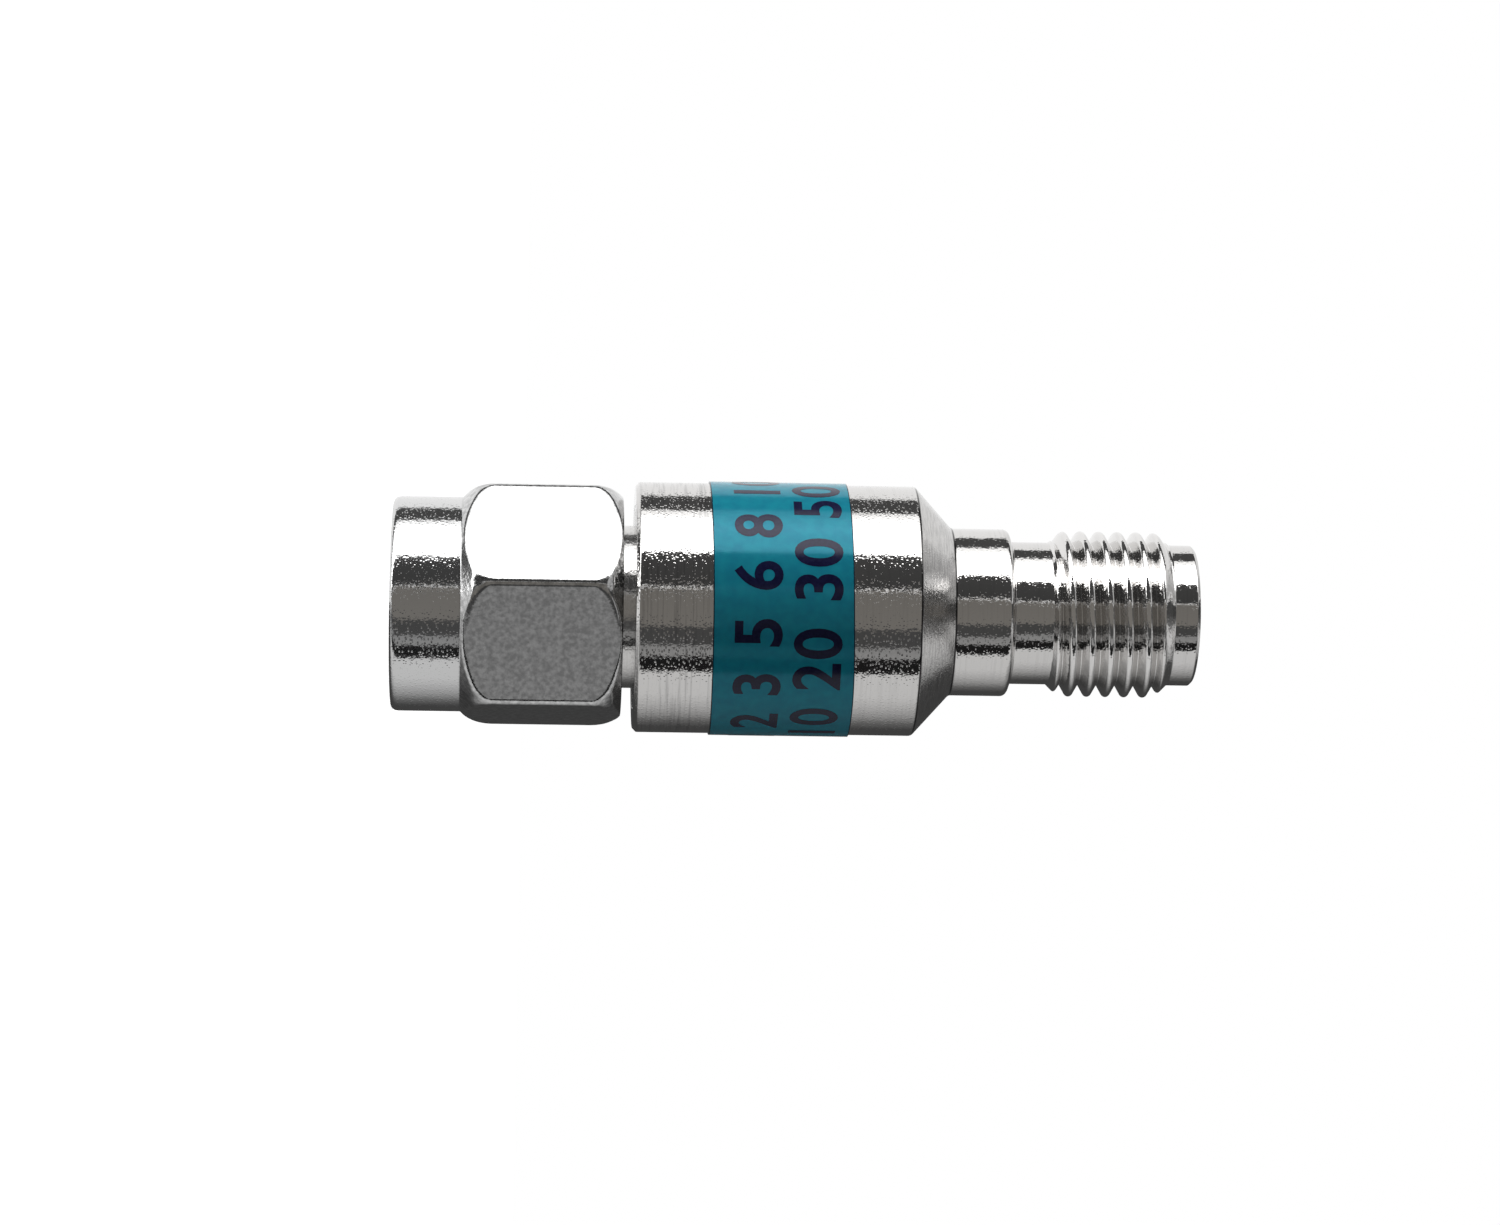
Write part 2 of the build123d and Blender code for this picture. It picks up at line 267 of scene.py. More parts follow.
def make_housing():
    """Barrel, cone, step, neck, threaded jack and plain lip, turned in one piece."""
    outline = [
        (LIP_RADIUS, THREAD_STOP, 0),
        (LIP_RADIUS, THREAD_STOP + FINE_EDGE, 0),
        (LIP_RADIUS, JACK_END - LIP_CHAMFER, FINE_EDGE),
        (LIP_RADIUS - LIP_CHAMFER, JACK_END, FINE_EDGE),
        (MOUTH_RADIUS + MOUTH_CHAMFER, JACK_END, FINE_EDGE),
        (MOUTH_RADIUS, JACK_END - MOUTH_CHAMFER, FINE_EDGE),
        (MOUTH_RADIUS, JACK_REFERENCE, 0),
        (INSULATOR_BORE_RADIUS, JACK_REFERENCE, 0),
        (INSULATOR_BORE_RADIUS, INSULATOR_SEAT_END, 0),
        (INSULATOR_SEAT_RADIUS, INSULATOR_SEAT_END, 0),
        (INSULATOR_SEAT_RADIUS, CAVITY_REAR, 0),
        (CAVITY_RADIUS, CAVITY_REAR, 0),
        (CAVITY_RADIUS, CAVITY_FRONT, 0),
        (FLANGE_SEAT_RADIUS, CAVITY_FRONT, 0),
        (FLANGE_SEAT_RADIUS, BODY_FRONT, FINE_EDGE),
        (BODY_RADIUS - BODY_CHAMFER, BODY_FRONT, FINE_EDGE),
        (BODY_RADIUS, BODY_FRONT + BODY_CHAMFER, FINE_EDGE),
        (BODY_RADIUS, BODY_REAR, SOFT_EDGE),
        (STEP_RADIUS, STEP_FRONT, SOFT_EDGE),
        (STEP_RADIUS, STEP_REAR - STEP_BEVEL_DEPTH, STEP_BEVEL_ROUND),
        (STEP_RADIUS - STEP_BEVEL, STEP_REAR, FINE_EDGE),
        (JACK_NECK_RADIUS, STEP_REAR, SOFT_EDGE),
        (JACK_NECK_RADIUS, THREAD_START - FINE_EDGE, 0),
        (JACK_NECK_RADIUS, THREAD_START, 0),
    ]
    plain = round_corners(outline)
    bm = bmesh.new()
    skin(bm, even_angles(SEGMENTS), lambda angle: plain)

    def thread(angle):
        """The thread's points in this direction, between neck and lip."""
        edges = (JACK_NECK_RADIUS, LIP_RADIUS)
        return thread_column(angle, THREAD_START, THREAD_STOP, *edges, JACK_CREST, JACK_ROOT)

    skin(bm, even_angles(SEGMENTS), thread, len(tooth(JACK_CREST, JACK_ROOT)))
    return finish_mesh("housing", bm)


# Coupling nut

NUT_HALF = 8.35 * MM / 2  # from the axis to a flat
NUT_TURN = radians(19.5)
NUT_SIDE = radians(60)
NUT_EDGE_ROUND = 0.35 * MM
NUT_EDGE_MIDDLE = (NUT_HALF - NUT_EDGE_ROUND) / cos(NUT_SIDE / 2)
NUT_EDGE_STEPS = 8
NUT_EDGE_GUARD = radians(0.1)
FLAT_STEPS = SEGMENTS // 8
HALF_FLAT = atan((NUT_HALF - NUT_EDGE_ROUND) * tan(NUT_SIDE / 2) / NUT_HALF)
FACET_EDGE = 0.16 * MM
CORNER_EDGE = 0.35 * MM  # more rounding where the ends of two facets meet
CORNER_FALL = 6  # how fast that fades away from there
NUT_FRONT = NUT_LOW.z
NUT_REAR = NUT_HIGH.z
SLEEVE_RADIUS = 4.025 * MM
SLEEVE_END = NUT_FRONT + 2.6 * MM
SLEEVE_ROUND = 0.4 * MM
NUT_REAR_RADIUS = 4.1 * MM
NUT_MOUTH_RADIUS = 3.4 * MM
NUT_CREST = 2.85 * MM
NUT_THREAD_END = NUT_FRONT + 4.4 * MM
NUT_BORE_RADIUS = 3.25 * MM
RING_GAP = 0.03 * MM
RING_GROOVE_RADIUS = RING_HIGH.x + RING_GAP
RING_GROOVE_FRONT = RING_LOW.z - RING_GAP
RING_GROOVE_REAR = RING_HIGH.z + RING_GAP


def hexagon_angles():
    """Angles round the nut, close together on the rounded corners."""
    half_corner = NUT_SIDE / 2 - HALF_FLAT
    angles = []
    for side in range(6):
        corner = NUT_TURN + side * NUT_SIDE
        start, end = corner - half_corner, corner + half_corner
        angles.append(start - NUT_EDGE_GUARD)
        angles += [start + 2 * half_corner * i / NUT_EDGE_STEPS for i in range(NUT_EDGE_STEPS + 1)]
        angles.append(end + NUT_EDGE_GUARD)
        angles += [end + 2 * HALF_FLAT * i / FLAT_STEPS for i in range(1, FLAT_STEPS)]
    return angles


def hexagon_radius(angle):
    """Distance from the axis to the nut's side in this direction."""
    off_corner = abs((angle - NUT_TURN + NUT_SIDE / 2) % NUT_SIDE - NUT_SIDE / 2)
    if NUT_SIDE / 2 - off_corner <= HALF_FLAT:
        return NUT_HALF / cos(NUT_SIDE / 2 - off_corner)
    across = NUT_EDGE_MIDDLE * sin(off_corner)
    return NUT_EDGE_MIDDLE * cos(off_corner) + sqrt(NUT_EDGE_ROUND**2 - across**2)


def nut_column(angle):
    """Outline of the nut in this direction, from one end of its thread round the outside to the other."""
    side = hexagon_radius(angle)
    corner_share = (side - NUT_HALF) / (hexagon_radius(NUT_TURN) - NUT_HALF)
    facet_edge = FACET_EDGE + CORNER_EDGE * corner_share**CORNER_FALL
    outline = [
        (NUT_MOUTH_RADIUS, NUT_FRONT, 0),
        (SLEEVE_RADIUS, NUT_FRONT, SLEEVE_ROUND),
        (SLEEVE_RADIUS, SLEEVE_END, FINE_EDGE),
        (side, SLEEVE_END + side - SLEEVE_RADIUS, facet_edge),
        (side, NUT_REAR - side + NUT_REAR_RADIUS, facet_edge),
        (NUT_REAR_RADIUS, NUT_REAR, FINE_EDGE),
        (NUT_BORE_RADIUS, NUT_REAR, FINE_EDGE),
        (NUT_BORE_RADIUS, RING_GROOVE_REAR, 0),
        (RING_GROOVE_RADIUS, RING_GROOVE_REAR, 0),
        (RING_GROOVE_RADIUS, RING_GROOVE_FRONT, 0),
        (NUT_BORE_RADIUS, RING_GROOVE_FRONT, 0),
        (NUT_BORE_RADIUS, NUT_THREAD_END, 0),
    ]
    return round_corners(outline)


def make_nut():
    """Hexagon nut with a turned sleeve in front and its thread inside."""
    bm = bmesh.new()
    skin(bm, hexagon_angles(), nut_column)

    def thread(angle):
        """The thread's points in this direction, between mouth and bore."""
        edges = (NUT_MOUTH_RADIUS, NUT_BORE_RADIUS)
        return thread_column(angle, NUT_FRONT, NUT_THREAD_END, *edges, NUT_CREST, NUT_BORE_RADIUS)

    skin(bm, hexagon_angles(), thread, len(tooth(NUT_CREST, NUT_BORE_RADIUS)))
    return finish_mesh("nut", bm)


# Plug shell, gasket, insulators and contacts

PLUG_REFERENCE = SHELL_LOW.z
PLUG_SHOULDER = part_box("sealing_gasket")[1].z
FERRULE_RADIUS = 2.275 * MM
PLUG_NECK_RADIUS = 3.05 * MM
NUT_PLAY = 0.3 * MM
SHELL_GROOVE_RADIUS = 2.45 * MM
SHELL_GROOVE_FRONT = RING_GROOVE_FRONT - NUT_PLAY
SEAT_STEP = CAVITY_FRONT - SEAT_LENGTH
INSULATOR_SHOULDER = 0.55 * MM
CONTACT_RADIUS = 0.635 * MM
COLLAR_RADIUS = 0.85 * MM
COLLAR_LENGTH = 1.2 * MM
FORK_GRIP = 1.1 * MM
FORK_HALF = 0.31 * MM
FORK_CLEARANCE = 0.05 * MM
PIN_RADIUS = 0.46 * MM
PIN_TIP_RADIUS = 0.25 * MM
PIN_TAPER = 0.35 * MM
SOCKET_BORE_RADIUS = 0.47 * MM
SOCKET_DEPTH = 2.9 * MM
FINGER_LENGTH = 2.4 * MM
FINGER_SLOT_HALF = 0.08 * MM
FINGER_ROOM = 0.12 * MM
FINGER_ROOM_RADIUS = CONTACT_RADIUS + FINGER_ROOM


def make_plug_shell():
    """Ferrule, shoulder, neck with the ring's groove, and the flange inside the housing."""
    bore = PLUG_INSULATOR_LOW.z
    inner = INSULATOR_SEAT_RADIUS
    return lathe("ferrule_shell", [
        (INSULATOR_BORE_RADIUS, bore, FINE_EDGE),
        (FERRULE_RADIUS, PLUG_REFERENCE, FINE_EDGE),
        (FERRULE_RADIUS, PLUG_SHOULDER, 0),
        (PLUG_NECK_RADIUS, PLUG_SHOULDER, SOFT_EDGE),
        (PLUG_NECK_RADIUS, SHELL_GROOVE_FRONT, FINE_EDGE),
        (SHELL_GROOVE_RADIUS, SHELL_GROOVE_FRONT, FINE_EDGE),
        (SHELL_GROOVE_RADIUS, RING_GROOVE_REAR, FINE_EDGE),
        (PLUG_NECK_RADIUS, RING_GROOVE_REAR, FINE_EDGE),
        (PLUG_NECK_RADIUS, BODY_FRONT, 0),
        (SHELL_HIGH.x, BODY_FRONT, FINE_EDGE),
        (SHELL_HIGH.x, CAVITY_FRONT, 0),
        (inner, CAVITY_FRONT, 0),
        (inner, SEAT_STEP, 0),
        (INSULATOR_BORE_RADIUS, SEAT_STEP, 0),
    ])


def make_gasket():
    """Rubber ring with rounded edges."""
    low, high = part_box("sealing_gasket")
    inner = FERRULE_RADIUS + SEAT_GAP
    return lathe("gasket", [
        (inner, low.z, SOFT_EDGE),
        (high.x, low.z, SOFT_EDGE),
        (high.x, high.z, SOFT_EDGE),
        (inner, high.z, SOFT_EDGE),
    ])


def make_plug_insulator():
    """Turned plastic bush that holds the pin."""
    low, high = PLUG_INSULATOR_LOW.z, PLUG_INSULATOR_HIGH.z
    hole, seat = CONTACT_RADIUS + SEAT_GAP, COLLAR_RADIUS + SEAT_GAP
    face = PLUG_INSULATOR_HIGH.x - INSULATOR_SHOULDER
    return lathe("plug_bush", [
        (hole, low, FINE_EDGE),
        (face, low, FINE_EDGE),
        (face, SEAT_STEP + SEAT_GAP, 0),
        (PLUG_INSULATOR_HIGH.x, SEAT_STEP + SEAT_GAP, 0),
        (PLUG_INSULATOR_HIGH.x, high, FINE_EDGE),
        (seat, high, 0),
        (seat, high - COLLAR_LENGTH - SEAT_GAP, 0),
        (hole, high - COLLAR_LENGTH - SEAT_GAP, 0),
    ])


def make_jack_insulator():
    """Turned plastic bush round the socket, with room for its fingers."""
    low, high = JACK_INSULATOR_LOW.z, JACK_INSULATOR_HIGH.z
    hole, seat = CONTACT_RADIUS + SEAT_GAP, COLLAR_RADIUS + SEAT_GAP
    face = JACK_INSULATOR_HIGH.x - INSULATOR_SHOULDER
    return lathe("jack_bush", [
        (seat, low, 0),
        (JACK_INSULATOR_HIGH.x, low, FINE_EDGE),
        (JACK_INSULATOR_HIGH.x, INSULATOR_SEAT_END - SEAT_GAP, 0),
        (face, INSULATOR_SEAT_END - SEAT_GAP, 0),
        (face, high, FINE_EDGE),
        (FINGER_ROOM_RADIUS, high, FINE_EDGE),
        (FINGER_ROOM_RADIUS, high - FINGER_LENGTH, 0),
        (hole, high - FINGER_LENGTH, 0),
        (hole, low + COLLAR_LENGTH + SEAT_GAP, 0),
        (seat, low + COLLAR_LENGTH + SEAT_GAP, 0),
    ])


def make_pin():
    """Tapered pin whose collar ends in the fork that grips the card."""
    low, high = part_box("plug_pin")
    pin = lathe("centre_pin", [
        (0, low.z, 0),
        (PIN_TIP_RADIUS, low.z, SOFT_EDGE),
        (PIN_RADIUS, low.z + PIN_TAPER, SOFT_EDGE),
        (PIN_RADIUS, PLUG_REFERENCE, 0),
        (CONTACT_RADIUS, PLUG_REFERENCE, FINE_EDGE),
        (CONTACT_RADIUS, CAVITY_FRONT - COLLAR_LENGTH, 0),
        (COLLAR_RADIUS, CAVITY_FRONT - COLLAR_LENGTH, FINE_EDGE),
        (COLLAR_RADIUS, high.z, FINE_EDGE),
        (0, high.z, 0),
    ], SEGMENTS // 2)
    start = high.z - FORK_GRIP - FORK_CLEARANCE
    return saw(pin, ((-BEYOND, -FORK_HALF, start), (BEYOND, FORK_HALF, high.z + BEYOND)))


def make_socket():
    """Socket with four sprung fingers and, behind, the other fork."""
    low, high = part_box("jack_socket")
    socket = lathe("centre_socket", [
        (0, low.z, 0),
        (COLLAR_RADIUS, low.z, FINE_EDGE),
        (COLLAR_RADIUS, CAVITY_REAR + COLLAR_LENGTH, FINE_EDGE),
        (CONTACT_RADIUS, CAVITY_REAR + COLLAR_LENGTH, 0),
        (CONTACT_RADIUS, high.z, FINE_EDGE),
        (SOCKET_BORE_RADIUS + FINGER_SLOT_HALF, high.z, FINE_EDGE),
        (SOCKET_BORE_RADIUS, high.z - FINGER_SLOT_HALF, FINE_EDGE),
        (SOCKET_BORE_RADIUS, high.z - SOCKET_DEPTH, 0),
        (0, high.z - SOCKET_DEPTH, 0),
    ], SEGMENTS // 2)
    stop = low.z + FORK_GRIP + FORK_CLEARANCE
    start = high.z - FINGER_LENGTH
    return saw(
        socket,
        ((-BEYOND, -FORK_HALF, low.z - BEYOND), (BEYOND, FORK_HALF, stop)),
        ((-BEYOND, -FINGER_SLOT_HALF, start), (BEYOND, FINGER_SLOT_HALF, high.z + BEYOND)),
        ((-FINGER_SLOT_HALF, -BEYOND, start), (FINGER_SLOT_HALF, BEYOND, high.z + BEYOND)),
    )


# Label

LABEL_RADIUS = LABEL_HIGH.x
LABEL_THICKNESS = 0.06 * MM
LABEL_GAP = 0.4 * MM
LABEL_HALF_GAP = asin(LABEL_GAP / 2 / LABEL_RADIUS)
LABEL_WAVER = 0.01 * MM
FRONT_WAVES, REAR_WAVES = 3, 5
LABEL_SHIFT = 0.08 * MM  # towards the plug, from where the solid has it
LABEL_SKEW = 0.05 * MM
LABEL_RIM = 0.04 * MM
INK_LIFT = 0.006 * MM
GLYPH_STEPS = 6
GLYPH_WEIGHT = 0.02
GLYPH_SPACING = 1.1
NUMBER_HEIGHT = 1.8 * MM
NUMBER_STEP = 0.15 * MM  # between the cuts that let the numbers bend round the label
SLIVER = 0.002  # of the numbers' height, narrower faces are merged away
NUMBER_ROWS = (
    # what stands in the row, and how far its middle lies behind the label's front edge
    ("1 2 3 5 6 8 10", 1.58 * MM),
    ("10 20 30 50", 3.79 * MM),
)


def label_column(angle):
    """Section of the label, which is stuck on a little askew and has cut edges that waver."""
    skew = LABEL_SKEW * cos(angle)
    front = LABEL_LOW.z - LABEL_SHIFT + skew + LABEL_WAVER * sin(FRONT_WAVES * angle + 1)
    rear = LABEL_HIGH.z - LABEL_SHIFT + 2 * skew + LABEL_WAVER * sin(REAR_WAVES * angle)
    inner = LABEL_RADIUS - LABEL_THICKNESS
    round_edge = LABEL_THICKNESS / 3
    return round_corners([
        (inner, front, 0),
        (LABEL_RADIUS, front, round_edge),
        (LABEL_RADIUS, front + LABEL_RIM, 0),
        (LABEL_RADIUS, rear - LABEL_RIM, 0),
        (LABEL_RADIUS, rear, round_edge),
        (inner, rear, 0),
        (inner, front, 0),
    ])


def make_label():
    """Printed band round the barrel, with its ends butted at the back."""
    start = pi / 2 + LABEL_HALF_GAP
    sweep = 2 * pi - 2 * LABEL_HALF_GAP
    bm = bmesh.new()
    skin(bm, [start + sweep * i / SEGMENTS for i in range(SEGMENTS + 1)], label_column, closed=False)
    return finish_mesh("label", bm)


def paint_rim_shade(label, material):
    """Give the narrow faces along the label's cut edges a darker material, a painted line of shade there.
    """
    label.data.materials.append(material)
    for face in label.data.polygons:
        heights = [label.data.vertices[i].co.z for i in face.vertices]
        if max(heights) - min(heights) < 2 * LABEL_RIM:
            face.material_index = 1


def flat_numbers(words):
    """The row of numbers as a flat mesh, one unit high and centred."""
    curve = bpy.data.curves.new("numbers", "FONT")
    curve.body = words
    curve.offset = GLYPH_WEIGHT
    curve.resolution_u = GLYPH_STEPS
    curve.space_character = GLYPH_SPACING
    writing = bpy.data.objects.new("numbers", curve)
    bpy.context.scene.collection.objects.link(writing)
    bpy.context.view_layer.update()
    shape = writing.evaluated_get(bpy.context.evaluated_depsgraph_get())
    bm = bmesh.new()
    bm.from_mesh(bpy.data.meshes.new_from_object(shape))
    bpy.data.objects.remove(writing)
    across = [vertex.co.x for vertex in bm.verts]
    along = [vertex.co.y for vertex in bm.verts]
    middle = Vector(((min(across) + max(across)) / 2, (min(along) + max(along)) / 2, 0))
    size = max(along) - min(along)
    for vertex in bm.verts:
        vertex.co = (vertex.co - middle) / size
    bmesh.ops.remove_doubles(bm, verts=bm.verts, dist=SLIVER)
    bmesh.ops.dissolve_degenerate(bm, edges=bm.edges, dist=SLIVER)
    return bm


def make_numbers(number, words, setback):
    """A row of numbers wrapped round the label, read upwards with the jack to the right."""
    bm = flat_numbers(words)
    bmesh.ops.scale(bm, vec=(NUMBER_HEIGHT, NUMBER_HEIGHT, 1), verts=bm.verts)
    half = max(vertex.co.x for vertex in bm.verts)
    for i in range(1, int(2 * half / NUMBER_STEP) + 1):
        cut = (i * NUMBER_STEP - half, 0, 0)
        shape = bm.verts[:] + bm.edges[:] + bm.faces[:]
        bmesh.ops.bisect_plane(bm, geom=shape, plane_co=cut, plane_no=(1, 0, 0))
    radius = LABEL_RADIUS + INK_LIFT
    for vertex in bm.verts:
        angle = -pi / 2 - vertex.co.x / radius
        height = LABEL_LOW.z + setback - vertex.co.y
        vertex.co = (radius * cos(angle), radius * sin(angle), height)
    mesh = bpy.data.meshes.new(f"numbers_{number}")
    bm.to_mesh(mesh)
    bm.free()
    obj = bpy.data.objects.new(f"numbers_{number}", mesh)
    bpy.context.scene.collection.objects.link(obj)
    return obj


# Materials

NOISE_RANGE = (0.3, 0.7)  # nearly all values of a noise
CLOUD_RANGE = (0.35, 0.65)
WHITE = (1, 1, 1)
BLACK = (0, 0, 0)


def new_material(name):
    """A new material with its shader and a helper that adds and joins nodes."""
    material = bpy.data.materials.new(name)
    material.use_nodes = True
    tree = material.node_tree

    def add(kind, links=(), **values):
        """A new node of this kind, with outputs joined to its inputs and its settings made."""
        node = tree.nodes.new(kind)
        for key, value in values.items():
            setattr(node, key, value)
        for source, target in links:
            tree.links.new(source, node.inputs[target])
        return node

    return material, tree.nodes["Principled BSDF"], add


def textured(name):
    """A new material, and the places on the piece for patterns that move along with it."""
    material, shader, add = new_material(name)
    return material, shader, add("ShaderNodeTexCoord").outputs["Object"], add


def connect(shader, color, roughness, normal):
    """Join colour, roughness and relief to the shader."""
    links = shader.id_data.links
    links.new(color, shader.inputs["Base Color"])
    links.new(roughness, shader.inputs["Roughness"])
    links.new(normal, shader.inputs["Normal"])


def noise(add, place, scale, detail, stretch=(1, 1, 1)):
    """Noise of so many grains to the metre, drawn out where the stretch is small."""
    mapping = add("ShaderNodeMapping", [(place, "Vector")])
    mapping.inputs["Scale"].default_value = stretch
    grains = add("ShaderNodeTexNoise", [(mapping.outputs["Vector"], "Vector")])
    grains.inputs["Scale"].default_value = scale
    grains.inputs["Detail"].default_value = detail
    return grains.outputs["Fac"]


def spread(add, value, low, high, out_low, out_high):
    """The value, moved from one range to another and kept inside it."""
    node = add("ShaderNodeMapRange", [(value, "Value")])
    node.inputs["From Min"].default_value = low
    node.inputs["From Max"].default_value = high
    node.inputs["To Min"].default_value = out_low
    node.inputs["To Max"].default_value = out_high
    return node.outputs["Result"]


def calculate(add, operation, first, second):
    """A sum done on two values, each a number or a node's output."""
    node = add("ShaderNodeMath", operation=operation)
    for socket, value in zip(node.inputs, (first, second)):
        if isinstance(value, (int, float)):
            socket.default_value = value
        else:
            node.id_data.links.new(value, socket)
    return node.outputs[0]


def combine(add, operation, first, second):
    """Two colours added or multiplied."""
    return add("ShaderNodeVectorMath", [(first, 0), (second, 1)], operation=operation).outputs[0]


def tint(add, factor, first, second):
    """A colour between two, by the factor."""
    node = add("ShaderNodeMix", data_type="RGBA")
    node.id_data.links.new(factor, node.inputs[0])
    node.inputs[6].default_value = (*first, 1)
    node.inputs[7].default_value = (*second, 1)
    return node.outputs[2]


def bump(add, height, depth, normal=None):
    """Relief of the given depth for noise that runs from 0 to 1."""
    links = [(height, "Height")]
    if normal:
        links.append((normal, "Normal"))
    node = add("ShaderNodeBump", links)
    node.inputs["Strength"].default_value = 1
    node.inputs["Distance"].default_value = depth
    return node.outputs["Normal"]


def zone(add, place, start, stop, blur):
    """One between two heights on the axis, zero beyond, with soft edges."""
    height = add("ShaderNodeSeparateXYZ", [(place, "Vector")]).outputs["Z"]
    rise = spread(add, height, start - blur, start + blur, 0, 1)
    fall = spread(add, height, stop - blur, stop + blur, 1, 0)
    return calculate(add, "MULTIPLY", rise, fall)


# Turned metal: scales are in grains to the metre

PIT_SCALE = 9500
PIT_REACH = 0.45  # of the distance between two pits
PIT_DEPTH = 0.0045 * MM
PEEL_SCALE = 8000
PEEL_DETAIL = 1.5
PEEL_DEPTH = 0.004 * MM
DEEP_PEEL_DEPTH = 0.009 * MM
LINE_SCALE = 9000
LINE_DETAIL = 3
LINE_DEPTH = 0.003 * MM
FINE_LINE_DEPTH = 0.0015 * MM
ROUND_STRETCH = (0.04, 0.04, 1)
GLOSS_SHARES = (0.8, 1.3)
STREAK_RANGE = (0.45, 0.7)
STREAK_SHARE = 0.12
DULL_SHARE = 0.3
BRIGHT_STEEL = (0.62, 0.61, 0.60)


def turned_skin(add, place, line_depth, peel_depth):
    """The ripple of a turned surface, its lines round the axis, and the relief of both."""
    ripple = noise(add, place, PEEL_SCALE, PEEL_DETAIL)
    lines = noise(add, place, LINE_SCALE, LINE_DETAIL, ROUND_STRETCH)
    relief = bump(add, ripple, peel_depth, bump(add, lines, line_depth))
    return ripple, lines, relief


def pitted(add, place, relief, strength):
    """The relief with small low domes all over, one apart from the other."""
    cells = add("ShaderNodeTexVoronoi", [(place, "Vector")])
    cells.inputs["Scale"].default_value = PIT_SCALE
    domes = add("ShaderNodeMapRange", [(cells.outputs["Distance"], "Value")])
    domes.interpolation_type = "SMOOTHSTEP"
    domes.inputs["From Max"].default_value = PIT_REACH
    domes.inputs["To Min"].default_value = 1
    domes.inputs["To Max"].default_value = 0
    node = add("ShaderNodeBump", [(domes.outputs["Result"], "Height"), (relief, "Normal")])
    node.inputs["Distance"].default_value = PIT_DEPTH
    node.id_data.links.new(strength, node.inputs["Strength"])
    return node.outputs["Normal"]


def metal(name, color, roughness, peel_depth=DEEP_PEEL_DEPTH):
    """Turned bright metal with a slightly rippled skin, fine lines round the axis and faint streaks."""
    material, shader, place, add = textured(name)
    ripple, lines, relief = turned_skin(add, place, FINE_LINE_DEPTH, peel_depth)
    streaks = spread(add, lines, *STREAK_RANGE, 0, STREAK_SHARE)
    dull = [c * DULL_SHARE for c in color]
    smooth, rough = [roughness * share for share in GLOSS_SHARES]
    shader.inputs["Metallic"].default_value = 1
    color = tint(add, streaks, color, dull)
    connect(shader, color, spread(add, ripple, *NOISE_RANGE, smooth, rough), relief)
    return material


# The housing's metal

BRUSH_SCALE = 22000
BRUSH_DETAIL = 3
BRUSH_STRETCH = (0.08, 0.08, 1)
BRUSH_RANGE = (0.4, 0.65)
BRUSH_SHARE = 0.35
# half width, and below the colour, of the painted shade lines on both edges of the cone
EDGE_SHADE_LINE = 0.035 * MM
CONE_BLUR = 0.04 * MM
THREAD_BLUR = 0.02 * MM
FRONT_BLUR = 0.5 * MM
JACK_PITS = 0.6  # as deep as the other pits
BODY_STREAK_RANGE = (0.5, 0.72)
BODY_STREAK_SHARES = (0.1, 0.45)  # in general, and in front of the label
STREAK_COLOR = (0.2, 0.2, 0.2)
THREAD_LIGHT = (0.08, 0.08, 0.08)
EDGE_SHADE_COLOR = (0.08, 0.08, 0.08)
BODY_ROUGHNESS = (0.065, 0.16)  # in general, and on the cone


def housing_color(add, place, lines, cone):
    """Grey with streaks along the turning lines, brushing on the cone and a painted dark line of shade on
    both its edges.
    """
    front = zone(add, place, BODY_FRONT, LABEL_LOW.z, FRONT_BLUR)
    streaks = spread(add, lines, *BODY_STREAK_RANGE, 0, 1)
    streaks = calculate(add, "MULTIPLY", streaks, spread(add, front, 0, 1, *BODY_STREAK_SHARES))
    brushing = noise(add, place, BRUSH_SCALE, BRUSH_DETAIL, BRUSH_STRETCH)
    brushing = spread(add, brushing, *BRUSH_RANGE, 0, BRUSH_SHARE)
    streaks = calculate(add, "MAXIMUM", streaks, calculate(add, "MULTIPLY", brushing, cone))
    color = tint(add, streaks, BRIGHT_STEEL, STREAK_COLOR)
    thread = zone(add, place, THREAD_START, THREAD_STOP, THREAD_BLUR)
    color = combine(add, "ADD", color, tint(add, thread, BLACK, THREAD_LIGHT))
    # painted shade: a dark line where the barrel meets the cone and where the cone meets the step, standing
    # in for the shade and dark reflections there
    edges = []
    for z in (BODY_REAR, STEP_FRONT):
        edges.append(zone(add, place, z - EDGE_SHADE_LINE, z + EDGE_SHADE_LINE, EDGE_SHADE_LINE / 3))
    painted_edge_shade = calculate(add, "MAXIMUM", *edges)
    return combine(add, "MULTIPLY", color, tint(add, painted_edge_shade, WHITE, EDGE_SHADE_COLOR))


def housing_steel():
    """The housing's metal, pitted all over, with a matt cone and a smoother jack."""
    material, shader, place, add = textured("steel")
    ripple, lines, relief = turned_skin(add, place, LINE_DEPTH, PEEL_DEPTH)
    cone = zone(add, place, BODY_REAR, STEP_FRONT, CONE_BLUR)
    jack = zone(add, place, BODY_REAR, JACK_END + BEYOND, CONE_BLUR)
    relief = pitted(add, place, relief, spread(add, jack, 0, 1, 1, JACK_PITS))
    rough = spread(add, cone, 0, 1, *BODY_ROUGHNESS)
    rough = calculate(add, "MULTIPLY", rough, spread(add, ripple, *NOISE_RANGE, *GLOSS_SHARES))
    shader.inputs["Metallic"].default_value = 1
    connect(shader, housing_color(add, place, lines, cone), rough, relief)
    return material


# The nut's metal

SCUFF_SCALE = 5500
SCUFF_DETAIL = 5
SCUFF_RANGE = (0.38, 0.64)
SCUFF_SHARE = 0.5
SCUFF_COLORS = ((0.4, 0.4, 0.4), (0.84, 0.84, 0.84))
SLEEVE_BLUR = 0.05 * MM
FLAT_PITS = 0.15  # as deep as the sleeve's
NUT_ROUGHNESS = (0.13, 0.095)  # on the flats, and on the sleeve


